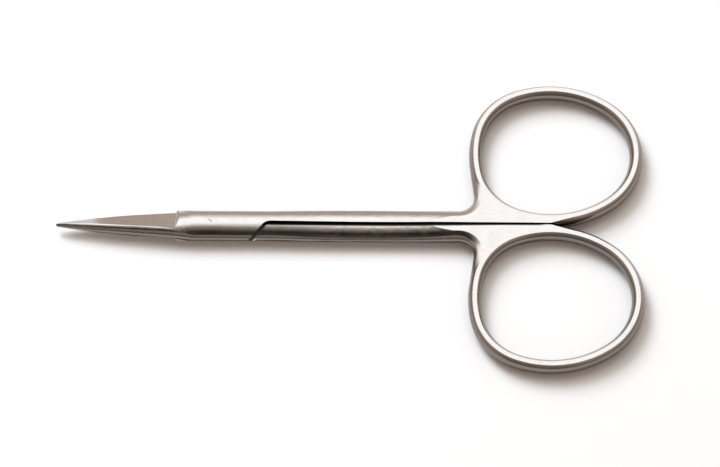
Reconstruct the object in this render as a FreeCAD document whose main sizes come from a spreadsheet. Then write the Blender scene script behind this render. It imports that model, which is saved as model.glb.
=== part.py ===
"""Iris scissors: two one-piece halves that cross at a screw, closed and lying flat."""
import FreeCAD, Part
import math
import os
import re

import Sketcher

# Driving dimensions in millimetres and degrees, written once.
# The pivot axis is the origin of each half, the tips point to -X and the rings to +X.
SIZES = {
    # lap joint
    # half width of the bar at the joint
    "joint_side": 3.2,
    "joint_height": 3.3,
    "joint_crown": 5.57,
    "joint_run": 12.0,
    "joint_front": 4.0,
    "lap_gap": 0.04,
    "shoulder_station": 10.6,
    "shoulder_angle": 50.0,
    "shoulder_round": 1.7,
    # shanks
    "shank_gap": 0.74,
    "ring_gap": 0.4,
    "shank_outer": 3.38,
    "shank_height": 2.9,
    "shank_crown": 5.1,
    "shank_apex": 0.36,
    "shank_start": 24.0,
    "shank_end": 36.0,
    # web between shank and ring: its crown is as tall as this before its faces are ground flat
    "web_start": 47.0,
    "web_height": 3.77,
    "web_crown": 5.6,
    "web_outer": 3.32,
    "web_fillet": 3.0,
    "neck_station": 51.15,
    "neck_reach": 0.67,
    "neck_lean": 7.6,
    "neck_drop": 3.04,
    "wall_runout": 6.0,
    "wall_lead": 1.0,
    # finger ring, measured at the flat edges of its hole
    "hole_length": 30.88,
    "hole_width": 28.1,
    "ring_height": 3.3,
    "ring_flat": 0.86,
    "ring_bulge": 0.87,
    "ring_grind": 0.08,
    # radii of the hole's outline as shares of its width, and of its length for the side,
    # which flattens as the hole gets narrower
    "side_share": 0.5936,
    "nose_share": 0.459,
    "corner_share": 0.409,
    "tail_share": 0.747,
    # blade
    "blade_length": 30.7,
    # the blank at even steps from joint to tip: reach of its edge side and its back, height of its crown
    "blank_crown": 5.0,
    "root_apex": -0.55,
    "root_reach": 3.08,
    "heel_reach": 2.62,
    "belly_reach": 2.25,
    "waist_reach": 1.78,
    "fore_reach": 1.15,
    "tip_reach": 0.42,
    "root_back": 2.8,
    "heel_back": 2.42,
    "belly_back": 2.03,
    "waist_back": 1.585,
    "fore_back": 1.015,
    "tip_back": 0.3,
    "root_spine": 1.56,
    "heel_spine": 1.41,
    "belly_spine": 1.27,
    "waist_spine": 1.08,
    "fore_spine": 0.82,
    "tip_spine": 0.34,
    # the bevel at even steps from plunge to tip: its cutting edge, and a point near its ridge
    "first_edge": 2.76,
    "second_edge": 2.42,
    "third_edge": 1.94,
    "fourth_edge": 1.245,
    "last_edge": 0.34,
    "first_ridge": -1.1,
    "second_ridge": -0.83,
    "third_ridge": -0.36,
    "fourth_ridge": -0.01,
    "last_ridge": 0.04,
    "first_rise": 1.5,
    "second_rise": 1.38,
    "third_rise": 1.15,
    "fourth_rise": 0.86,
    "last_rise": 0.33,
    "nose_round": 0.3,
    # the wall where the bevel ends at the joint, with a hollow foot
    "plunge_station": 7.5,
    "plunge_hollow": 0.5,
    "plunge_run": 1.4,
    "plunge_depth": 1.6,
    # pivot screw
    "head_width": 3.6,
    "head_depth": 0.8,
    "head_clearance": 0.05,
    "seat_clearance": 0.02,
    "shank_bore": 2.4,
    "running_clearance": 0.03,
    "thread_width": 2.0,
    "thread_clearance": 0.01,
    "slot_width": 0.5,
    "slot_depth": 0.4,
    # how far the cutting outlines reach past the metal
    "cut_margin": 1.0,
}

# Sizes that follow from the driving dimensions
JOINT_HALF = "(joint_height / 2)"
RING_HALF = "(ring_height / 2)"
INNER_WALL = "(shank_gap / 2)"
RING_WALL = "(ring_gap / 2)"
RING_STATION = "(neck_station + neck_reach + hole_length / 2)"
RING_OFFSET = "(ring_gap / 2 - ring_grind + ring_bulge + ring_flat + hole_width / 2)"
RING_END = f"({RING_STATION} + hole_length / 2 + ring_flat + ring_bulge)"
NECK_TOP = f"({RING_OFFSET} - neck_drop)"
SIDE_CLEAR = "(2 * joint_side)"
WEB_HALF = "(web_height / 2)"
FLAT_EDGE = f"(sqrt(web_crown^2 - (web_crown - {WEB_HALF} + {RING_HALF})^2))"
FLANK = f"(web_outer - {FLAT_EDGE})"

doc = FreeCAD.newDocument("iris_scissors")
sheet = doc.addObject("Spreadsheet::Sheet", "Sizes")
for row, (alias, value) in enumerate(SIZES.items(), start=1):
    sheet.set(f"A{row}", alias.replace("_", " "))
    sheet.set(f"B{row}", str(value))
    sheet.setAlias(f"B{row}", alias)
doc.recompute()

ALIAS = re.compile(r"\b(" + "|".join(sorted(SIZES, key=len, reverse=True)) + r")\b")


def bound(expression):
    """The expression with each alias pointed at the sheet."""
    return ALIAS.sub(r"Sizes.\1", str(expression))


def size(expression):
    """The number that an expression has now."""
    result = sheet.evalExpression(bound(expression))
    return float(getattr(result, "Value", result))


def new_sketch(body, name, role, station="0", origin=("0", "0"), turn="0"):
    """A sketch on an origin plane of the body, moved along its normal and turned about its upright."""
    sketch = body.newObject("Sketcher::SketchObject", name)
    plane = [f for f in body.Origin.OriginFeatures if f.Role == role][0]
    sketch.AttachmentSupport = [(plane, "")]
    sketch.MapMode = "FlatFace"
    moves = (*origin, station)
    sketch.AttachmentOffset = FreeCAD.Placement(
        FreeCAD.Vector(*(size(move) for move in moves)),
        FreeCAD.Rotation(FreeCAD.Vector(0, 1, 0), size(turn)))
    for axis, move in zip("xyz", moves):
        if move != "0":
            sketch.setExpression(f"AttachmentOffset.Base.{axis}", bound(move))
    if turn != "0":
        sketch.setExpression("AttachmentOffset.Rotation.Angle", bound(turn))
    return sketch


def pin(sketch, geometry, point, x, y):
    """Hold a point of the sketch at coordinates given by expressions."""
    for kind, expression in (("DistanceX", x), ("DistanceY", y)):
        value = size(expression)
        index = sketch.addConstraint(Sketcher.Constraint(kind, -1, 1, geometry, point, value))
        sketch.setExpression(f"Constraints[{index}]", bound(expression))


def draw_outline(sketch, corners, closed=True):
    """Lines and arcs through corners (x, y, bend).

    The bend is the radius of the arc that leaves the corner: positive turns left,
    negative turns right, None is a straight line.
    """
    points = [FreeCAD.Vector(size(x), size(y), 0) for x, y, _ in corners]
    count = len(corners) if closed else len(corners) - 1
    for number in range(count):
        start = points[number]
        end = points[(number + 1) % len(points)]
        bend = corners[number][2]
        if bend is None:
            sketch.addGeometry(Part.LineSegment(start, end), False)
            first, last = 1, 2
        else:
            radius = size(bend)
            chord = end - start
            left = FreeCAD.Vector(-chord.y, chord.x, 0).normalize()
            rise = math.sqrt(max(radius * radius - chord.Length ** 2 / 4, 0))
            centre = (start + end) * 0.5 + left * math.copysign(rise, radius)
            circle = Part.Circle(centre, FreeCAD.Vector(0, 0, 1), abs(radius))
            from_angle = math.atan2(start.y - centre.y, start.x - centre.x)
            to_angle = math.atan2(end.y - centre.y, end.x - centre.x)
            first, last = 1, 2
            if radius < 0:
                from_angle, to_angle = to_angle, from_angle
                first, last = 2, 1
            sketch.addGeometry(Part.ArcOfCircle(circle, from_angle, to_angle), False)
            index = sketch.addConstraint(Sketcher.Constraint("Radius", number, abs(radius)))
            sketch.setExpression(f"Constraints[{index}]", bound(f"abs({bend})"))
        pin(sketch, number, first, corners[number][0], corners[number][1])
        if number:
            sketch.addConstraint(Sketcher.Constraint("Coincident", number - 1, previous_last, number, first))
        else:
            opening = first
        previous_last = last
    if closed:
        sketch.addConstraint(Sketcher.Constraint("Coincident", count - 1, previous_last, 0, opening))
    else:
        pin(sketch, count - 1, previous_last, corners[-1][0], corners[-1][1])


def side_of(reach, half, crown):
    """Radius of the round side that joins a crown, and where they meet, measured from the apex."""
    radius = f"((2 * {crown} * {half} - {half}^2 - {reach}^2) / (2 * ({crown} - {reach})))"
    meet_y = f"(({reach} - {radius}) * {crown} / ({crown} - {radius}))"
    meet_z = f"(({crown} - {half}) * {radius} / ({crown} - {radius}))"
    return radius, meet_y, meet_z


def bar_section(body, name, station, outer, half, crown, apex="0"):
    """A D-shaped section: flat inner wall, crowned top and bottom, round outer side."""
    sketch = new_sketch(body, name, "YZ_Plane", station)
    side, meet_y, meet_z = side_of(f"({outer} - {apex})", half, crown)
    wall_z = f"({half} - {crown} + sqrt({crown}^2 - ({RING_WALL} - {apex})^2))"
    draw_outline(sketch, [
        (RING_WALL, wall_z, None),
        (RING_WALL, f"-{wall_z}", crown),
        (f"({apex} + {meet_y})", f"-{meet_z}", side),
        (outer, "0", side),
        (f"({apex} + {meet_y})", meet_z, crown),
    ])
    return sketch


def make_joint(body):
    """The full-width crowned bar about the pivot."""
    sketch = new_sketch(body, "JointSection", "YZ_Plane", "-joint_front")
    side_round, meet_y, meet_z = side_of("joint_side", JOINT_HALF, "joint_crown")
    draw_outline(sketch, [
        (meet_y, f"-{meet_z}", side_round),
        (meet_y, meet_z, "joint_crown"),
        (f"-{meet_y}", meet_z, side_round),
        (f"-{meet_y}", f"-{meet_z}", "joint_crown"),
    ])
    joint = body.newObject("PartDesign::Pad", "Joint")
    joint.Profile = sketch
    joint.setExpression("Length", bound("joint_run + joint_front"))


def blank_section(body, name, station, apex, half, crown, outer, back):
    """The upper half of a crowned bar, flat below: what a blade is before its bevel is ground."""
    sketch = new_sketch(body, name, "YZ_Plane", station)
    face = "(lap_gap / 2)"
    outer_round, outer_y, outer_z = side_of(f"({outer} - {apex})", half, crown)
    back_round, back_y, back_z = side_of(f"({back} + {apex})", half, crown)
    outer_foot = f"({outer} - {outer_round} + sqrt({outer_round}^2 - {face}^2))"
    back_foot = f"({back} - {back_round} + sqrt({back_round}^2 - {face}^2))"
    draw_outline(sketch, [
        (outer_foot, face, outer_round),
        (f"({apex} + {outer_y})", outer_z, crown),
        (f"({apex} - {back_y})", back_z, back_round),
        (f"-{back_foot}", face, None),
    ])
    return sketch


def bevel_section(body, name, station, part, lift="0"):
    """What the wheel takes away above the bevel."""
    sketch = new_sketch(body, name, "YZ_Plane", station)
    edge, ridge, rise = (f"{part}_{end}" for end in ("edge", "ridge", "rise"))
    slope = f"(({rise} - lap_gap / 2) / ({edge} - {ridge}))"
    low_y = f"({edge} + cut_margin)"
    high_y = f"({ridge} - cut_margin)"
    draw_outline(sketch, [
        (low_y, f"(lap_gap / 2 - cut_margin * {slope} + {lift})", None),
        (low_y, "(2 * joint_height)", None),
        (high_y, "(2 * joint_height)", None),
        (high_y, f"({rise} + cut_margin * {slope} + {lift})", None),
    ])
    return sketch


def make_blade(body):
    """The blade: a crowned blank drawn out to a point, then ground to a bevel up to its ridge."""
    names = ("root", "heel", "belly", "waist", "fore", "tip")
    blanks = [blank_section(body, "BlankJoint", "-joint_front", "0", JOINT_HALF, "joint_crown",
                            "joint_side", "joint_side")]
    for step, name in enumerate(names, 1):
        station = f"-(joint_front + (blade_length - joint_front) * {step} / {len(names)})"
        apex, crown = f"({name}_spine - {name}_back)", f"(blank_crown * {name}_spine)"
        if name == "root":
            apex, crown = "root_apex", "joint_crown"
        blanks.append(blank_section(body, f"Blank{name.title()}", station, apex, f"{name}_spine",
                                    crown, f"{name}_reach", f"{name}_back"))
    blank = body.newObject("PartDesign::AdditiveLoft", "Blank")
    blank.Profile = blanks[0]
    blank.Sections = blanks[1:]
    blank.Ruled = False
    doc.recompute()

    names = ("first", "second", "third", "fourth", "last")
    spacing = f"(blade_length - plunge_station) / {len(names) - 1}"
    bevels = [bevel_section(body, f"Bevel{name.title()}", f"-(plunge_station + {spacing} * {step})", name)
              for step, name in enumerate(names)]
    bevel = body.newObject("PartDesign::SubtractiveLoft", "Bevel")
    bevel.Profile = bevels[0]
    bevel.Sections = bevels[1:]
    bevel.Ruled = False
    doc.recompute()

    steps = 4
    foot = "(plunge_hollow * plunge_depth / plunge_run / 2)"
    walls = [bevel_section(body, f"PlungeHollow{step}", f"plunge_hollow * {step} / {steps} - plunge_station",
                           "first", f"{foot} * {step}^2 / {steps}^2") for step in range(steps + 1)]
    walls.append(bevel_section(body, "PlungeHead", "plunge_hollow + plunge_run - plunge_station",
                               "first", f"({foot} + plunge_depth)"))
    plunge = body.newObject("PartDesign::SubtractiveLoft", "Plunge")
    plunge.Profile = walls[0]
    plunge.Sections = walls[1:]
    plunge.Ruled = True
    doc.recompute()

    plan = new_sketch(body, "NosePlan", "XY_Plane")
    draw_outline(plan, [
        ("(nose_round - blade_length)", "nose_round", "nose_round"),
        ("-blade_length", "0", "nose_round"),
        ("(nose_round - blade_length)", "-nose_round", None),
        ("(nose_round - blade_length)", f"-{SIDE_CLEAR}", None),
        ("-(blade_length + cut_margin)", f"-{SIDE_CLEAR}", None),
        ("-(blade_length + cut_margin)", SIDE_CLEAR, None),
        ("(nose_round - blade_length)", SIDE_CLEAR, None),
    ])
    nose = body.newObject("PartDesign::Pocket", "Nose")
    nose.Profile = plan
    nose.Type = "ThroughAll"
    nose.Midplane = True
    doc.recompute()


def make_shank(body):
    """The shank, lofted from the joint's own section to the web's and ground flat near the web."""
    shank = ("shank_outer", "(shank_height / 2)", "shank_crown", "shank_apex")
    sections = [
        bar_section(body, "ShankRoot", "joint_run", "joint_side", JOINT_HALF, "joint_crown"),
        bar_section(body, "ShankFore", "shank_start", *shank),
        bar_section(body, "ShankAft", "shank_end", *shank),
        bar_section(body, "ShankWeb", "web_start", "web_outer", WEB_HALF, "web_crown"),
    ]
    loft = body.newObject("PartDesign::AdditiveLoft", "Shank")
    loft.Profile = sections[0]
    loft.Sections = sections[1:]
    loft.Ruled = False
    doc.recompute()
    for name, side in (("TopFlat", ""), ("BottomFlat", "-")):
        plan = new_sketch(body, name + "Profile", "XZ_Plane")
        draw_outline(plan, [
            ("shank_start", f"{side}{RING_HALF}", None),
            ("web_start", f"{side}{RING_HALF}", None),
            ("web_start", f"{side}joint_height", None),
            ("shank_start", f"{side}joint_height", None),
        ])
        flat = body.newObject("PartDesign::Pocket", name)
        flat.Profile = plan
        flat.Type = "ThroughAll"
        flat.Midplane = True
        doc.recompute()


def ring_path(sketch):
    """The ring's egg-shaped centre line of tangent arcs, blunt towards the shank."""
    half_length = "((hole_length + ring_flat) / 2)"
    half_width = "((hole_width + ring_flat) / 2)"
    nose, flank, corner, tail = (f"({share} + ring_flat / 2)" for share in
                                 ("hole_width * nose_share",
                                  "hole_length * side_share * sqrt(hole_length / hole_width)",
                                  "hole_width * corner_share", "hole_width * tail_share"))
    middle = FreeCAD.Vector(size(RING_STATION), size(RING_OFFSET), 0)
    radius = [size(r) for r in (nose, flank, corner, tail)]
    nose_x = size(half_length) - radius[0]
    tail_x = radius[3] - size(half_length)
    flank_y = radius[1] - size(half_width)
    flank_x = nose_x - math.sqrt((radius[1] - radius[0]) ** 2 - flank_y ** 2)
    # the corner's centre lies where two circles meet
    apart = math.hypot(flank_x - tail_x, flank_y)
    along = ((radius[3] - radius[2]) ** 2 - (radius[1] - radius[2]) ** 2 + apart ** 2) / (2 * apart)
    across = math.sqrt((radius[3] - radius[2]) ** 2 - along ** 2)
    unit_x = (flank_x - tail_x) / apart
    unit_y = -flank_y / apart
    corner_x = tail_x + along * unit_x + across * unit_y
    corner_y = along * unit_y - across * unit_x
    arcs = [
        (nose_x, 0, radius[0], nose),
        (flank_x, -flank_y, radius[1], flank),
        (corner_x, corner_y, radius[2], corner),
        (tail_x, 0, radius[3], tail),
        (corner_x, -corner_y, radius[2], corner),
        (flank_x, flank_y, radius[1], flank),
    ]
    joints = []
    for first, second in zip(arcs, arcs[1:] + arcs[:1]):
        big, small = (first, second) if first[2] > second[2] else (second, first)
        joints.append(math.atan2(small[1] - big[1], small[0] - big[0]))
    # the line starts and ends at the nose, where its section is drawn
    spans = list(zip([0] + joints[:-1], joints)) + [(joints[-1], 0)]
    for number, (from_angle, to_angle) in enumerate(spans):
        x, y, r, name = arcs[number % 6]
        circle = Part.Circle(middle + FreeCAD.Vector(x, y, 0), FreeCAD.Vector(0, 0, 1), r)
        sketch.addGeometry(Part.ArcOfCircle(circle, from_angle, to_angle), False)
    for number in range(6):
        sketch.addConstraint(Sketcher.Constraint("Tangent", number, 2, number + 1, 1))
        index = sketch.addConstraint(Sketcher.Constraint("Radius", number, arcs[number][2]))
        sketch.setExpression(f"Constraints[{index}]", bound(arcs[number][3]))
    sketch.addConstraint(Sketcher.Constraint("Coincident", 6, 2, 0, 1))
    for number in (0, 6):
        pin(sketch, number, 3, f"{RING_STATION} + {half_length} - {nose}", RING_OFFSET)
    pin(sketch, 3, 3, f"{RING_STATION} - {half_length} + {tail}", RING_OFFSET)
    heights = ((0, 1, RING_OFFSET), (1, 3, f"{RING_OFFSET} - ({flank} - {half_width})"),
               (5, 3, f"{RING_OFFSET} + ({flank} - {half_width})"))
    for number, point, height in heights:
        index = sketch.addConstraint(Sketcher.Constraint("DistanceY", -1, 1, number, point, size(height)))
        sketch.setExpression(f"Constraints[{index}]", bound(height))


def flank_outline(sketch, reach, bulge=None):
    """The web's edge seen end on: its flats end at the origin, or nearer the side that bulges less."""
    spare = "-cut_margin"
    if bulge is None:
        radius, meet_y, meet_z = side_of("web_outer", WEB_HALF, "web_crown")
        flat, bends = "0", ("web_crown", radius)
        meet_y = f"({meet_y} - {FLAT_EDGE})"
    else:
        radius = f"(({RING_HALF}^2 + {bulge}^2) / (2 * {bulge}))"
        flat, bends = f"({reach} - {bulge})", (radius, radius)
        meet_z = f"({RING_HALF} / 2)"
        meet_y = f"({reach} - {radius} + sqrt({radius}^2 - {meet_z}^2))"
    draw_outline(sketch, [
        (spare, f"-{RING_HALF}", None),
        (flat, f"-{RING_HALF}", bends[0]),
        (meet_y, f"-{meet_z}", bends[1]),
        (reach, "0", bends[1]),
        (meet_y, meet_z, bends[0]),
        (flat, RING_HALF, None),
        (spare, RING_HALF, None),
    ])


def make_web(body):
    """The flat web that carries the ring, and its rounded edge that turns up into the ring."""
    bend = f"(web_fillet + {FLANK})"
    turn = "(90 + neck_lean)"
    bend_start = "(neck_station - web_fillet)"
    bend_end_x = f"({bend_start} + {bend} * sin({turn}))"
    bend_end_y = f"({FLAT_EDGE} + {bend} * (1 - cos({turn})))"
    neck_end_x = f"({bend_end_x} - ({NECK_TOP} - {bend_end_y}) * tan(neck_lean))"
    edge = [
        ("web_start", FLAT_EDGE, None),
        (bend_start, FLAT_EDGE, bend),
        (bend_end_x, bend_end_y, None),
    ]
    plan = new_sketch(body, "WebPlan", "XY_Plane", f"-{RING_HALF}")
    draw_outline(plan, edge + [
        (neck_end_x, NECK_TOP, None),
        (RING_STATION, RING_OFFSET, None),
        (f"({RING_STATION} + wall_runout)", f"({RING_OFFSET} - (hole_width - ring_flat) / 2)", None),
        (f"({RING_STATION} - wall_lead)", RING_WALL, None),
        ("web_start", RING_WALL, None),
    ])
    web = body.newObject("PartDesign::Pad", "Web")
    web.Profile = plan
    web.setExpression("Length", bound("ring_height"))
    doc.recompute()

    path = new_sketch(body, "FlankPath", "XY_Plane")
    draw_outline(path, edge, closed=False)
    section = new_sketch(body, "FlankSection", "YZ_Plane", "web_start", (FLAT_EDGE, "0"))
    flank_outline(section, FLANK)
    flank = body.newObject("PartDesign::AdditivePipe", "Flank")
    flank.Profile = section
    flank.Spine = path
    doc.recompute()

    foot = new_sketch(body, "NeckFoot", "XZ_Plane", f"-{bend_end_y}", (bend_end_x, "0"), "180 + neck_lean")
    flank_outline(foot, FLANK)
    head = new_sketch(body, "NeckHead", "XZ_Plane", f"-{NECK_TOP}", (neck_end_x, "0"), "180 + neck_lean")
    flank_outline(head, FLANK, "ring_bulge")
    neck = body.newObject("PartDesign::AdditiveLoft", "Neck")
    neck.Profile = foot
    neck.Sections = [head]
    neck.Ruled = True
    doc.recompute()


def make_ring(body):
    """The finger ring: ground flat above and below, rounded inside and outside."""
    path = new_sketch(body, "RingPath", "XY_Plane")
    ring_path(path)
    doc.recompute()
    opening = body.newObject("PartDesign::Pocket", "RingOpening")
    opening.Profile = path
    opening.Type = "ThroughAll"
    opening.Midplane = True
    doc.recompute()
    section = new_sketch(body, "RingSection", "XZ_Plane", f"-{RING_OFFSET}")
    bend = f"(({RING_HALF}^2 + ring_bulge^2) / (2 * ring_bulge))"
    middle = f"({RING_STATION} + (hole_length + ring_flat) / 2)"
    draw_outline(section, [
        (f"({middle} + ring_flat / 2)", f"-{RING_HALF}", bend),
        (f"({middle} + ring_flat / 2)", RING_HALF, None),
        (f"({middle} - ring_flat / 2)", RING_HALF, bend),
        (f"({middle} - ring_flat / 2)", f"-{RING_HALF}", None),
    ])
    ring = body.newObject("PartDesign::AdditivePipe", "Ring")
    ring.Profile = section
    ring.Spine = path
    doc.recompute()


def cut_lap_end(body):
    """The end of the lap: side, diagonal and inner wall, with both corners rounded."""
    half_turn = "tan(shoulder_angle / 2)"
    shift = f"({INNER_WALL} / sin(shoulder_angle))"
    near_x = f"(shoulder_station - {shift} - joint_side / tan(shoulder_angle))"
    near_run = f"(shoulder_round * {half_turn})"
    wall_x = f"(shoulder_station - {shift} + {INNER_WALL} / tan(shoulder_angle))"
    wall_round = f"(shoulder_round + {INNER_WALL})"
    wall_run = f"({wall_round} * {half_turn})"
    sketch = new_sketch(body, "LapEndPlan", "XY_Plane")
    draw_outline(sketch, [
        (f"({near_x} - {near_run})", "-joint_side", "shoulder_round"),
        (f"({near_x} + {near_run} * cos(shoulder_angle))",
         f"(-joint_side + {near_run} * sin(shoulder_angle))", None),
        (f"({wall_x} - {wall_run} * cos(shoulder_angle))",
         f"({INNER_WALL} - {wall_run} * sin(shoulder_angle))", f"-{wall_round}"),
        (f"({wall_x} + {wall_run})", INNER_WALL, None),
        (RING_STATION, RING_WALL, None),
        (f"({RING_END} + cut_margin)", RING_WALL, None),
        (f"({RING_END} + cut_margin)", f"-{SIDE_CLEAR}", None),
        (f"({near_x} - {near_run})", f"-{SIDE_CLEAR}", None),
    ])
    cut = body.newObject("PartDesign::Pocket", "LapEnd")
    cut.Profile = sketch
    cut.Type = "ThroughAll"
    cut.Midplane = True
    doc.recompute()


def cut_shoulder(body):
    """The seat for the other half's lap, up to the diagonal shoulder it stops short of."""
    half_turn = "tan(shoulder_angle / 2)"
    shift = f"({INNER_WALL} / sin(shoulder_angle))"
    side = f"(joint_side + {INNER_WALL})"
    side_x = f"(shoulder_station + {shift} - {side} / tan(shoulder_angle))"
    side_round = f"(shoulder_round + {INNER_WALL})"
    side_run = f"({side_round} * {half_turn})"
    wall_x = f"(shoulder_station + {shift} - {INNER_WALL} / tan(shoulder_angle))"
    wall_round = f"(shoulder_round - {INNER_WALL})"
    wall_run = f"({wall_round} * {half_turn})"
    sketch = new_sketch(body, "ShoulderPlan", "XY_Plane", "lap_gap / 2")
    draw_outline(sketch, [
        (f"({side_x} - {side_run})", side, f"-{side_round}"),
        (f"({side_x} + {side_run} * cos(shoulder_angle))",
         f"({side} - {side_run} * sin(shoulder_angle))", None),
        (f"({wall_x} - {wall_run} * cos(shoulder_angle))",
         f"({INNER_WALL} + {wall_run} * sin(shoulder_angle))", wall_round),
        (f"({wall_x} + {wall_run})", INNER_WALL, None),
        (f"({wall_x} + {wall_run})", f"-{SIDE_CLEAR}", None),
        ("(-blade_length - cut_margin)", f"-{SIDE_CLEAR}", None),
        ("(-blade_length - cut_margin)", SIDE_CLEAR, None),
        (f"({side_x} - {side_run})", SIDE_CLEAR, None),
    ])
    cut = body.newObject("PartDesign::Pocket", "Shoulder")
    cut.Profile = sketch
    cut.Type = "ThroughAll"
    doc.recompute()


def bore(body, name, diameter, station, depth=None):
    """A round hole about the pivot axis, downwards from a height; through if no depth is given."""
    sketch = new_sketch(body, name + "Plan", "XY_Plane", station)
    circle = Part.Circle(FreeCAD.Vector(0, 0, 0), FreeCAD.Vector(0, 0, 1), size(diameter) / 2)
    sketch.addGeometry(circle, False)
    sketch.addConstraint(Sketcher.Constraint("Coincident", 0, 3, -1, 1))
    index = sketch.addConstraint(Sketcher.Constraint("Radius", 0, size(diameter) / 2))
    sketch.setExpression(f"Constraints[{index}]", bound(f"({diameter}) / 2"))
    hole = body.newObject("PartDesign::Pocket", name)
    hole.Profile = sketch
    if depth is None:
        hole.Type = "ThroughAll"
    else:
        hole.setExpression("Length", bound(depth))
    doc.recompute()


def make_half(label, holes):
    """One forged half, with its own holes at the pivot."""
    body = doc.addObject("PartDesign::Body", label)
    for step in (make_joint, make_blade, make_shank, make_web, make_ring, cut_lap_end, cut_shoulder):
        step(body)
        doc.recompute()
        check(doc.Objects)
    for hole in holes:
        bore(body, *hole)
    return body


def make_screw():
    """The slotted screw: head sunk in one half, end flush with the other."""
    body = doc.addObject("PartDesign::Body", "pivot_screw")
    sketch = new_sketch(body, "ScrewProfile", "XZ_Plane")
    draw_outline(sketch, [
        ("0", f"-{JOINT_HALF}", None),
        ("thread_width / 2", f"-{JOINT_HALF}", None),
        ("thread_width / 2", "-lap_gap / 2", None),
        ("shank_bore / 2", "-lap_gap / 2", None),
        ("shank_bore / 2", f"({JOINT_HALF} - head_depth)", None),
        ("head_width / 2", f"({JOINT_HALF} - head_depth)", None),
        ("head_width / 2", JOINT_HALF, None),
        ("0", JOINT_HALF, None),
    ])
    turned = body.newObject("PartDesign::Revolution", "Turned")
    turned.Profile = sketch
    turned.ReferenceAxis = (sketch, ["V_Axis"])
    turned.Angle = 360
    doc.recompute()
    _, crown_y, crown_z = side_of("joint_side", JOINT_HALF, "joint_crown")
    for name, sign in (("FlushHead", ""), ("FlushEnd", "-")):
        plan = new_sketch(body, name + "Section", "YZ_Plane")
        draw_outline(plan, [
            (f"-{crown_y}", f"{sign}{crown_z}", "joint_crown" if sign else "-joint_crown"),
            (crown_y, f"{sign}{crown_z}", None),
            (crown_y, f"{sign}joint_height", None),
            (f"-{crown_y}", f"{sign}joint_height", None),
        ])
        flush = body.newObject("PartDesign::Pocket", name)
        flush.Profile = plan
        flush.Type = "ThroughAll"
        flush.Midplane = True
        doc.recompute()
    slot = new_sketch(body, "SlotPlan", "XY_Plane", JOINT_HALF)
    draw_outline(slot, [
        ("-head_width", "-slot_width / 2", None),
        ("head_width", "-slot_width / 2", None),
        ("head_width", "slot_width / 2", None),
        ("-head_width", "slot_width / 2", None),
    ])
    cut = body.newObject("PartDesign::Pocket", "Slot")
    cut.Profile = slot
    cut.setExpression("Length", bound("slot_depth"))
    doc.recompute()
    return body


def check(objects):
    """Stop if any object of the document failed."""
    for item in objects:
        if any(word in item.State for word in ("Invalid", "Error")):
            raise RuntimeError(f"{item.Label} failed: {item.State}")


def place(body, turned):
    """Move a sub-part from the pivot to the shared frame, turned over if it is the lower half's."""
    turn = FreeCAD.Rotation(FreeCAD.Vector(1, 0, 0), 180 if turned else 0)
    body.Placement = FreeCAD.Placement(FreeCAD.Vector(0, 0, 0), turn)
    body.setExpression("Placement.Base.x", bound(f"(blade_length - {RING_END}) / 2"))
    body.setExpression("Placement.Base.z", bound("max(joint_height; ring_height) / 2"))


def main():
    thread_side = make_half("thread_side_half", [
        ("ThreadHole", "thread_width + 2 * thread_clearance", "joint_height"),
    ])
    head_side = make_half("head_side_half", [
        ("HeadSeat", "head_width + 2 * head_clearance", JOINT_HALF, "head_depth + seat_clearance"),
        ("ShankHole", "shank_bore + 2 * running_clearance", "joint_height"),
    ])
    screw = make_screw()
    place(thread_side, turned=False)
    place(head_side, turned=True)
    place(screw, turned=True)
    doc.recompute()
    check(doc.Objects)
    sub_parts = (thread_side, head_side, screw)
    for body in sub_parts:
        if body.Shape.isNull() or not body.Shape.isValid() or len(body.Shape.Solids) != 1:
            raise RuntimeError(f"{body.Label} is not one valid solid")
    os.makedirs("parts", exist_ok=True)
    for body in sub_parts:
        body.Shape.exportStep(f"parts/{body.Label}.step")
        print(body.Label, round(body.Shape.Volume, 2), "mm3")


if __name__ == "__main__":
    main()
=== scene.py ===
"""Iris scissors lying closed on a white table: steel finishes, light and camera."""
import math

import bpy
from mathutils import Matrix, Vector

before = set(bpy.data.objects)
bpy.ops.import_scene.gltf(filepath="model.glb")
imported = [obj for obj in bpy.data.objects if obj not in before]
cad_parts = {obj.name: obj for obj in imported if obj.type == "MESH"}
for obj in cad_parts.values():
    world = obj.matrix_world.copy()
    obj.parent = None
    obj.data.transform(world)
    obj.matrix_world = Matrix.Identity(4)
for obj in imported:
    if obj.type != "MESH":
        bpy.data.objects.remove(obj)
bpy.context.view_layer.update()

bl_info = {
    "name": "Iris Scissors",
    "version": (1, 0, 0),
    "blender": (4, 5, 0),
    "location": "3D View > Sidebar > Scissors",
    "description": "Finishes a pair of iris scissors and sets it out for a product picture",
    "category": "Object",
}

MM = 0.001
HALVES = ("thread_side_half", "head_side_half")
SCREW = "pivot_screw"

# Where the scissors get painted shade on their upright sides and between the halves, in object
# coordinates: each pair runs from none to full
LAP_END = -18.2 * MM
SHADED_SIDE_LEVEL = (0.84, 0.6)
UPRIGHT_LEVEL = (0.12, 0.04)
SLIT_REACH = (0.7 * MM, 0.5 * MM)
SLIT_SHARE = 0.35
SHOULDER_REACH = (2.9 * MM, 2.7 * MM)
SHOULDER_RUN = (6.0 * MM, 5.5 * MM)
LIP_OUTER = (-0.62 * MM, -0.54 * MM)
LIP_INNER = (-0.1 * MM, -0.3 * MM)
LIP_START = (LAP_END + 1.4 * MM, LAP_END + 2.0 * MM)
LIP_END = (38.5 * MM, 37.0 * MM)
LIP_TAPER = (18.0 * MM, 30.0 * MM)
LIP_NARROWING = 0.18 * MM

# A short scratch over the screw's end
SCRATCH_AT = (-27.3 * MM, 0.35 * MM, 0.0)
SCRATCH_TURN = math.radians(-47.0)
SCRATCH_LENGTH = (0.55 * MM, 0.35 * MM)
SCRATCH_WIDTH = (0.11 * MM, 0.05 * MM)
SCRATCH_FACING = (0.5, 0.6)
SCRATCH_DEPTH = 0.7

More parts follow.
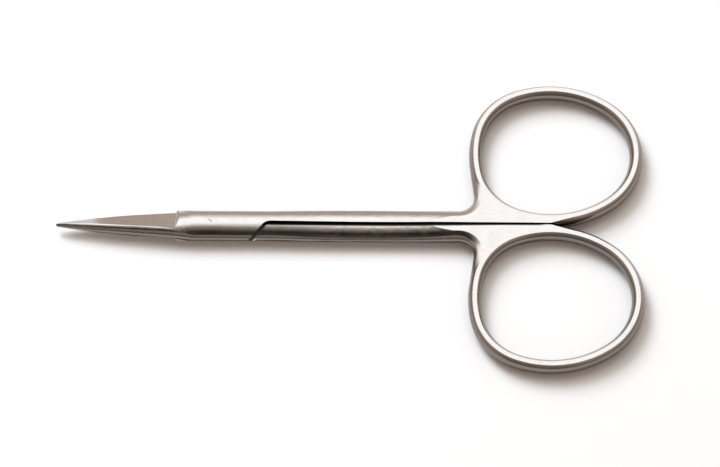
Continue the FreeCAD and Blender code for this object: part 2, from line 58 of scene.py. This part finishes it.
# How far the wheel's marks and the clouds change the finish, from their weak to their strong spots
NOISE_SPAN = (0.3, 0.7)
CLOUD_ROUGHNESS = (0.75, 1.3)
MARKS_SHADE = (0.82, 1.08)
MARKS_STRETCH = 30

# Light in the room round a half turn, in degrees from overhead: below zero in front, above zero behind
ROOM = (
    (-90.0, (0.36, 0.3, 0.26)),
    (-40.0, (0.32, 0.26, 0.22)),
    (-24.0, (0.1, 0.08, 0.065)),
    (-17.0, (0.012, 0.01, 0.008)),
    (-11.0, (0.03, 0.024, 0.02)),
    (-4.0, (0.17, 0.14, 0.12)),
    (6.0, (0.42, 0.37, 0.33)),
    (14.0, (1.0, 0.92, 0.86)),
    (22.0, (1.9, 1.87, 1.85)),
    (47.0, (1.9, 1.87, 1.85)),
    (56.0, (1.3, 1.2, 1.12)),
    (66.0, (0.7, 0.57, 0.5)),
    (90.0, (0.64, 0.51, 0.44)),
)
# Light at the room's sides, and how far to the left and right it begins and takes over
ASIDE = (0.55, 0.44, 0.38)
ASIDE_LEFT = (-0.6, -0.85)
ASIDE_RIGHT = (0.15, 0.5)

TABLE_SIZE = 8.0
KEY_AT = (-0.45, 0.74, 0.66)
KEY_SIZE = 0.5
KEY_COLOUR = (0.95, 1.0, 1.06)
SENSOR_WIDTH = 36.0


class ScissorsSteel(bpy.types.PropertyGroup):
    """Colours and polish of the forged halves and the screw, with the colours of their painted shade.
    """

    steel_colour: bpy.props.FloatVectorProperty(
        name="Steel colour", description="Colour of the polished steel",
        subtype="COLOR", size=3, min=0.0, max=1.0, default=(0.545, 0.533, 0.523))
    screw_colour: bpy.props.FloatVectorProperty(
        name="Screw colour", description="Colour of the screw's steel",
        subtype="COLOR", size=3, min=0.0, max=1.0, default=(0.535, 0.523, 0.512))
    # Side colour is painted shade: the upright sides are darkened to it to stand in for the dark
    # surroundings they reflect
    side_shade_colour: bpy.props.FloatVectorProperty(
        name="Side colour", description="Colour of the steel on its sides, which are less polished",
        subtype="COLOR", size=3, min=0.0, max=1.0, default=(0.24, 0.215, 0.195))
    # Crevice colour is painted shade: the walls between the halves and a thin line along the gap's lip
    # are darkened to it
    crevice_shade_colour: bpy.props.FloatVectorProperty(
        name="Crevice colour", description="Colour of the unpolished walls between the halves",
        subtype="COLOR", size=3, min=0.0, max=1.0, default=(0.02, 0.017, 0.015))
    satin: bpy.props.FloatProperty(
        name="Satin", description="Roughness of the polished steel",
        subtype="FACTOR", min=0.0, max=1.0, default=0.17)
    grain_width: bpy.props.FloatProperty(
        name="Grain width", description="Width of the marks that the polishing wheel leaves",
        unit="LENGTH", subtype="DISTANCE", default=0.06 * MM)
    grain_depth: bpy.props.FloatProperty(
        name="Grain depth", description="Depth of the wheel's marks",
        unit="LENGTH", subtype="DISTANCE", default=0.0006 * MM)
    mottle_size: bpy.props.FloatProperty(
        name="Mottle size", description="Size of the clouded patches left by hand polishing",
        unit="LENGTH", subtype="DISTANCE", default=3.0 * MM)


class ScissorsStage(bpy.types.PropertyGroup):
    """Table, lamps and camera."""

    tilt: bpy.props.FloatProperty(
        name="Camera tilt", description="Angle between the camera's line of sight and the vertical",
        unit="ROTATION", subtype="ANGLE", default=math.radians(28.0))
    roll: bpy.props.FloatProperty(
        name="Camera roll", description="Turn of the picture about the line of sight",
        unit="ROTATION", subtype="ANGLE", default=math.radians(0.3))
    distance: bpy.props.FloatProperty(
        name="Camera distance", description="Distance from the camera to the scissors",
        unit="LENGTH", subtype="DISTANCE", default=0.74)
    picture_width: bpy.props.FloatProperty(
        name="Picture width", description="Width of table that the picture takes in",
        unit="LENGTH", subtype="DISTANCE", default=140.9 * MM)
    sidestep: bpy.props.FloatProperty(
        name="Sidestep", unit="LENGTH", subtype="DISTANCE", default=24.0 * MM,
        description="How far to the right of the picture's middle the camera stands")
    look_at: bpy.props.FloatVectorProperty(
        name="Look at", description="Point at the middle of the picture",
        unit="LENGTH", subtype="TRANSLATION", size=3, default=(2.0 * MM, -1.4 * MM, 1.65 * MM))
    table_colour: bpy.props.FloatVectorProperty(
        name="Table colour", description="Colour of the white table",
        subtype="COLOR", size=3, min=0.0, max=1.0, default=(0.975, 0.99, 1.0))
    room_strength: bpy.props.FloatProperty(
        name="Room strength", description="Strength of the light from the room",
        min=0.0, default=1.0)
    key_power: bpy.props.FloatProperty(
        name="Key power", description="Power of the key lamp at the upper left",
        subtype="POWER", unit="POWER", min=0.0, default=9.5)


def connect(tree, source, target):
    """Join an output socket to an input socket."""
    tree.links.new(source, target)


def place_node(tree, kind, column, row, **settings):
    """Add a shader node on a grid and set its properties."""
    node = tree.nodes.new(kind)
    node.location = (column * 200, row * -160)
    for name, value in settings.items():
        setattr(node, name, value)
    return node


def map_range(tree, source, column, row, span, to=(0.0, 1.0), smooth=False):
    """Map a value from one span to another, held at its ends, and return the result's socket."""
    node = place_node(tree, "ShaderNodeMapRange", column, row)
    if smooth:
        node.interpolation_type = "SMOOTHSTEP"
    for name, value in zip(("From Min", "From Max", "To Min", "To Max"), (*span, *to)):
        node.inputs[name].default_value = value
    connect(tree, source, node.inputs["Value"])
    return node.outputs[0]


def join(tree, operation, first, second, column, row):
    """Join two values, either of which may be a number, with a math node; return its socket."""
    node = place_node(tree, "ShaderNodeMath", column, row, operation=operation)
    for source, target in ((first, node.inputs[0]), (second, node.inputs[1])):
        if isinstance(source, float):
            target.default_value = source
        else:
            connect(tree, source, target)
    return node.outputs[0]


def magnitude(tree, source, column, row):
    """Drop a value's sign and return the result's socket."""
    node = place_node(tree, "ShaderNodeMath", column, row, operation="ABSOLUTE")
    connect(tree, source, node.inputs[0])
    return node.outputs[0]


def parts_of(tree, source, column, row):
    """Split a vector and return its node, with the outputs X, Y and Z."""
    node = place_node(tree, "ShaderNodeSeparateXYZ", column, row)
    connect(tree, source, node.inputs[0])
    return node


def blend(tree, factor, first, second, column, row):
    """Mix two colours, either of which may be given as three numbers; return the result's socket."""
    node = place_node(tree, "ShaderNodeMix", column, row, data_type="RGBA")
    connect(tree, factor, node.inputs["Factor"])
    for source, target in ((first, node.inputs["A"]), (second, node.inputs["B"])):
        if isinstance(source, bpy.types.NodeSocket):
            connect(tree, source, target)
        else:
            target.default_value = (*source, 1.0)
    return node.outputs["Result"]


def paint_ramp(node, stops):
    """Set the stops (position, colour) of a colour ramp."""
    elements = node.color_ramp.elements
    while len(elements) < len(stops):
        elements.new(1.0)
    for element, (position, colour) in zip(elements, stops):
        element.position = position
        element.color = (*colour, 1.0)


def wheel_marks(group, entry):
    """Fine lengthwise marks that the polishing wheel leaves."""
    across = join(group, "DIVIDE", 1.0, entry.outputs["Width"], -4, 1)
    along = join(group, "DIVIDE", 1.0, entry.outputs["Length"], -4, 2)
    stretch = place_node(group, "ShaderNodeCombineXYZ", -3, 1)
    connect(group, along, stretch.inputs["X"])
    connect(group, across, stretch.inputs["Y"])
    connect(group, across, stretch.inputs["Z"])
    stretched = place_node(group, "ShaderNodeVectorMath", -2, 1, operation="MULTIPLY")
    connect(group, entry.outputs["Vector"], stretched.inputs[0])
    connect(group, stretch.outputs[0], stretched.inputs[1])
    marks = place_node(group, "ShaderNodeTexNoise", -1, 1)
    marks.inputs["Scale"].default_value = 1.0
    marks.inputs["Detail"].default_value = 3.0
    marks.inputs["Roughness"].default_value = 0.6
    connect(group, stretched.outputs[0], marks.inputs["Vector"])
    return marks.outputs["Fac"]


def clouded_satin(group, entry):
    """Roughness in soft patches, as hand polishing leaves it."""
    patch = join(group, "DIVIDE", 1.0, entry.outputs["Mottle"], -4, 4)
    cloud = place_node(group, "ShaderNodeTexNoise", -1, 4)
    cloud.inputs["Detail"].default_value = 4.0
    cloud.inputs["Roughness"].default_value = 0.55
    connect(group, entry.outputs["Vector"], cloud.inputs["Vector"])
    connect(group, patch, cloud.inputs["Scale"])
    spread = map_range(group, cloud.outputs["Fac"], 0, 4, NOISE_SPAN, CLOUD_ROUGHNESS)
    return join(group, "MULTIPLY", entry.outputs["Satin"], spread, 2, 2)


def crevice_shade_mask(group, spot, tilt, level):
    """Painted shade on the walls between the halves and a thin painted shadow line on the lip beside
    their gap.
    """
    off_axis = magnitude(group, spot.outputs["Y"], -4, 9)
    slit = join(group, "MULTIPLY", map_range(group, off_axis, -3, 9, SLIT_REACH), SLIT_SHARE, -1, 9)
    from_lap = magnitude(group, join(group, "SUBTRACT", spot.outputs["X"], LAP_END, -4, 11), -3, 11)
    shoulder = join(group, "MULTIPLY", map_range(group, off_axis, -3, 10, SHOULDER_REACH),
                    map_range(group, from_lap, -2, 11, SHOULDER_RUN), -1, 10)
    upright = map_range(group, level, -3, 8, UPRIGHT_LEVEL, smooth=True)
    walls = join(group, "MULTIPLY", upright, join(group, "MAXIMUM", slit, shoulder, 0, 9), 1, 8)

    # Painted shadow line along the lip beside the gap
    rim = join(group, "MULTIPLY", spot.outputs["Y"], tilt.outputs["Z"], -4, 13)
    narrowing = map_range(group, spot.outputs["X"], -4, 14, LIP_TAPER, (0.0, LIP_NARROWING))
    outer = join(group, "SUBTRACT", rim, narrowing, -3, 12)
    edge = join(group, "MULTIPLY", map_range(group, outer, -3, 13, LIP_OUTER),
                map_range(group, rim, -3, 14, LIP_INNER), -2, 13)
    run = join(group, "MULTIPLY", map_range(group, spot.outputs["X"], -3, 15, LIP_START),
               map_range(group, spot.outputs["X"], -3, 16, LIP_END), -2, 15)
    lip = join(group, "MULTIPLY", edge, run, -1, 13)
    return join(group, "MAXIMUM", walls, lip, 2, 8)


def scratch_shade(group, entry, tilt):
    """Shade of the short scratch: one where there is none."""
    place = place_node(group, "ShaderNodeMapping", -4, 18, vector_type="TEXTURE")
    place.inputs["Location"].default_value = SCRATCH_AT
    place.inputs["Rotation"].default_value = (0.0, 0.0, SCRATCH_TURN)
    connect(group, entry.outputs["Vector"], place.inputs["Vector"])
    turned = parts_of(group, place.outputs[0], -3, 18)
    length = map_range(group, magnitude(group, turned.outputs["X"], -2, 18), -1, 18, SCRATCH_LENGTH)
    width = map_range(group, magnitude(group, turned.outputs["Y"], -2, 19), -1, 19, SCRATCH_WIDTH)
    top = map_range(group, tilt.outputs["Z"], -1, 20, SCRATCH_FACING)
    nick = join(group, "MULTIPLY", join(group, "MULTIPLY", length, width, 0, 18), top, 1, 18)
    return join(group, "SUBTRACT", 1.0, join(group, "MULTIPLY", nick, SCRATCH_DEPTH, 2, 18), 3, 18)


def polish_and_shade_group():
    """Wheel marks, clouded patches, masks for painted shade on the sides and between the halves, and
    the scratch, shared by every steel finish.
    """
    group = bpy.data.node_groups.get("HandPolishAndShade")
    if group:
        return group
    group = bpy.data.node_groups.new("HandPolishAndShade", "ShaderNodeTree")
    sockets = group.interface
    for name in ("Width", "Length", "Mottle", "Satin"):
        sockets.new_socket(name, in_out="INPUT", socket_type="NodeSocketFloat")
    sockets.new_socket("Vector", in_out="INPUT", socket_type="NodeSocketVector")
    for name in ("Height", "Roughness", "Shade", "Side", "Crevice"):
        sockets.new_socket(name, in_out="OUTPUT", socket_type="NodeSocketFloat")
    entry = place_node(group, "NodeGroupInput", -6, 0)
    leave = place_node(group, "NodeGroupOutput", 4, 0)
    facing = place_node(group, "ShaderNodeTexCoord", -6, 7)
    tilt = parts_of(group, facing.outputs["Normal"], -5, 7)
    spot = parts_of(group, entry.outputs["Vector"], -5, 8)
    level = magnitude(group, tilt.outputs["Z"], -4, 7)

    marks = wheel_marks(group, entry)
    shade = map_range(group, marks, 2, 5, NOISE_SPAN, MARKS_SHADE)
    scratched = join(group, "MULTIPLY", shade, scratch_shade(group, entry, tilt), 3, 5)
    connect(group, marks, leave.inputs["Height"])
    connect(group, clouded_satin(group, entry), leave.inputs["Roughness"])
    connect(group, scratched, leave.inputs["Shade"])
    # The Side output is a painted shade mask: faces that stand upright get the darker side colour
    connect(group, map_range(group, level, -3, 7, SHADED_SIDE_LEVEL, smooth=True), leave.inputs["Side"])
    # The Crevice output is a painted shade mask for the walls between the halves and the gap's lip
    connect(group, crevice_shade_mask(group, spot, tilt, level), leave.inputs["Crevice"])
    return group


def steel_material(name, colour, settings):
    """Stainless steel: polished faces, with painted shade darkening the upright sides and the walls
    between the halves.
    """
    material = bpy.data.materials.new(name)
    material.use_nodes = True
    tree = material.node_tree
    tree.nodes.clear()
    place = place_node(tree, "ShaderNodeTexCoord", -4, 0)
    polish = place_node(tree, "ShaderNodeGroup", -2, 0, node_tree=polish_and_shade_group())
    polish.inputs["Width"].default_value = settings.grain_width
    polish.inputs["Length"].default_value = settings.grain_width * MARKS_STRETCH
    polish.inputs["Mottle"].default_value = settings.mottle_size
    polish.inputs["Satin"].default_value = settings.satin
    connect(tree, place.outputs["Object"], polish.inputs["Vector"])
    # Painted shade: upright sides darken to the side colour, and the walls between the halves to near
    # black
    side_shaded = blend(tree, polish.outputs["Side"], colour, settings.side_shade_colour, -2, 2)
    crevice_shaded = blend(tree, polish.outputs["Crevice"], side_shaded, settings.crevice_shade_colour, -1, 4)
    tint = place_node(tree, "ShaderNodeVectorMath", -1, 0, operation="SCALE")
    connect(tree, crevice_shaded, tint.inputs[0])
    connect(tree, polish.outputs["Shade"], tint.inputs["Scale"])
    bump = place_node(tree, "ShaderNodeBump", -1, 2)
    bump.inputs["Strength"].default_value = 1.0
    bump.inputs["Distance"].default_value = settings.grain_depth
    connect(tree, polish.outputs["Height"], bump.inputs["Height"])
    shader = place_node(tree, "ShaderNodeBsdfPrincipled", 0, 0)
    shader.inputs["Metallic"].default_value = 1.0
    connect(tree, tint.outputs[0], shader.inputs["Base Color"])
    connect(tree, polish.outputs["Roughness"], shader.inputs["Roughness"])
    connect(tree, bump.outputs[0], shader.inputs["Normal"])
    leave = place_node(tree, "ShaderNodeOutputMaterial", 2, 0)
    connect(tree, shader.outputs[0], leave.inputs["Surface"])
    return material


def dress(node, material):
    """Give a CAD node its finish."""
    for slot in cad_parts[node].material_slots:
        slot.material = material


class SCISSORS_OT_halves(bpy.types.Operator):
    """Finish the two forged halves"""

    bl_idname = "scissors.halves"
    bl_label = "Forged halves"

    def execute(self, context):
        steel = context.scene.scissors_steel
        finish = steel_material("satin_steel_and_shade", steel.steel_colour, steel)
        for node in HALVES:
            dress(node, finish)
        return {"FINISHED"}


class SCISSORS_OT_screw(bpy.types.Operator):
    """Finish the pivot screw"""

    bl_idname = "scissors.screw"
    bl_label = "Pivot screw"

    def execute(self, context):
        steel = context.scene.scissors_steel
        finish = steel_material("screw_steel_and_shade", steel.screw_colour, steel)
        dress(SCREW, finish)
        return {"FINISHED"}


def table_material(settings):
    """White table that takes the object's shadow."""
    material = bpy.data.materials.new("white_table")
    material.use_nodes = True
    tree = material.node_tree
    tree.nodes.clear()
    matt = place_node(tree, "ShaderNodeBsdfDiffuse", 0, 0)
    matt.inputs["Color"].default_value = (*settings.table_colour, 1.0)
    leave = place_node(tree, "ShaderNodeOutputMaterial", 2, 0)
    connect(tree, matt.outputs[0], leave.inputs["Surface"])
    return material


def studio_world(settings):
    """Warm room with a bright panel behind and overhead and a dark zone round the camera."""
    world = bpy.data.worlds.new("studio")
    world.use_nodes = True
    tree = world.node_tree
    tree.nodes.clear()
    place = place_node(tree, "ShaderNodeTexCoord", -6, 0)
    split = parts_of(tree, place.outputs["Generated"], -5, 0)
    swing = join(tree, "ARCTAN2", split.outputs["Y"], split.outputs["Z"], -4, 0)
    turn = map_range(tree, swing, -3, 0, (-math.pi / 2, math.pi / 2))
    wall = place_node(tree, "ShaderNodeValToRGB", -2, 0)
    paint_ramp(wall, [(0.5 + degrees / 180, colour) for degrees, colour in ROOM])
    connect(tree, turn, wall.inputs["Fac"])
    left = map_range(tree, split.outputs["X"], -3, 2, ASIDE_LEFT, smooth=True)
    right = map_range(tree, split.outputs["X"], -3, 4, ASIDE_RIGHT, smooth=True)
    sides = join(tree, "MAXIMUM", left, right, -2, 3)
    shade = blend(tree, sides, wall.outputs["Color"], ASIDE, -1, 0)
    room = place_node(tree, "ShaderNodeBackground", 0, 0)
    room.inputs["Strength"].default_value = settings.room_strength
    connect(tree, shade, room.inputs["Color"])
    leave = place_node(tree, "ShaderNodeOutputWorld", 2, 0)
    connect(tree, room.outputs[0], leave.inputs["Surface"])
    return world


def lamp(name, place, aim, size, power, colour):
    """A square lamp that faces a point and doesn't show in the steel."""
    data = bpy.data.lights.new(name, "AREA")
    data.shape = "SQUARE"
    data.size = size
    data.energy = power
    data.color = colour
    holder = bpy.data.objects.new(name, data)
    bpy.context.scene.collection.objects.link(holder)
    holder.location = place
    holder.rotation_euler = (Vector(aim) - Vector(place)).to_track_quat("-Z", "Y").to_euler()
    holder.visible_glossy = False


class SCISSORS_OT_stage(bpy.types.Operator):
    """Set out the table, the lamps and the camera"""

    bl_idname = "scissors.stage"
    bl_label = "Stage"

    def execute(self, context):
        settings = context.scene.scissors_stage
        bpy.ops.object.select_all(action="DESELECT")
        bpy.ops.mesh.primitive_plane_add(size=TABLE_SIZE, location=(0.0, 0.0, 0.0))
        table = context.active_object
        table.name = "table"
        table.data.materials.append(table_material(settings))
        context.scene.world = studio_world(settings)
        lamp("key", KEY_AT, (0.0, 0.0, 0.0), KEY_SIZE, settings.key_power, KEY_COLOUR)

        aim = Vector(settings.look_at)
        back = Vector((0.0, -math.sin(settings.tilt), math.cos(settings.tilt)))
        data = bpy.data.cameras.new("camera")
        data.sensor_width = SENSOR_WIDTH
        data.lens = data.sensor_width * settings.distance / settings.picture_width
        data.shift_x = -settings.sidestep / settings.picture_width
        data.clip_start = 0.01
        camera = bpy.data.objects.new("camera", data)
        context.scene.collection.objects.link(camera)
        camera.location = aim + back * settings.distance + Vector((settings.sidestep, 0.0, 0.0))
        camera.rotation_euler = (settings.tilt, 0.0, 0.0)
        camera.rotation_euler.rotate_axis("Z", settings.roll)
        context.scene.camera = camera
        context.scene.view_settings.view_transform = "Standard"
        return {"FINISHED"}


class SCISSORS_PT_panel(bpy.types.Panel):
    """Steps that finish the scissors, in order"""

    bl_idname = "SCISSORS_PT_panel"
    bl_label = "Iris scissors"
    bl_space_type = "VIEW_3D"
    bl_region_type = "UI"
    bl_category = "Scissors"

    def draw(self, context):
        layout = self.layout
        for operator in OPERATORS:
            layout.operator(operator.bl_idname)
        for settings in (context.scene.scissors_steel, context.scene.scissors_stage):
            box = layout.box()
            for name in settings.__annotations__:
                box.prop(settings, name)


OPERATORS = (SCISSORS_OT_halves, SCISSORS_OT_screw, SCISSORS_OT_stage)
CLASSES = (ScissorsSteel, ScissorsStage, *OPERATORS, SCISSORS_PT_panel)


def register():
    for item in CLASSES:
        bpy.utils.register_class(item)
    bpy.types.Scene.scissors_steel = bpy.props.PointerProperty(type=ScissorsSteel)
    bpy.types.Scene.scissors_stage = bpy.props.PointerProperty(type=ScissorsStage)


def unregister():
    del bpy.types.Scene.scissors_stage
    del bpy.types.Scene.scissors_steel
    for item in reversed(CLASSES):
        bpy.utils.unregister_class(item)


def main():
    register()
    bpy.ops.scissors.halves()
    bpy.ops.scissors.screw()
    bpy.ops.scissors.stage()


if __name__ == "__main__":
    main()
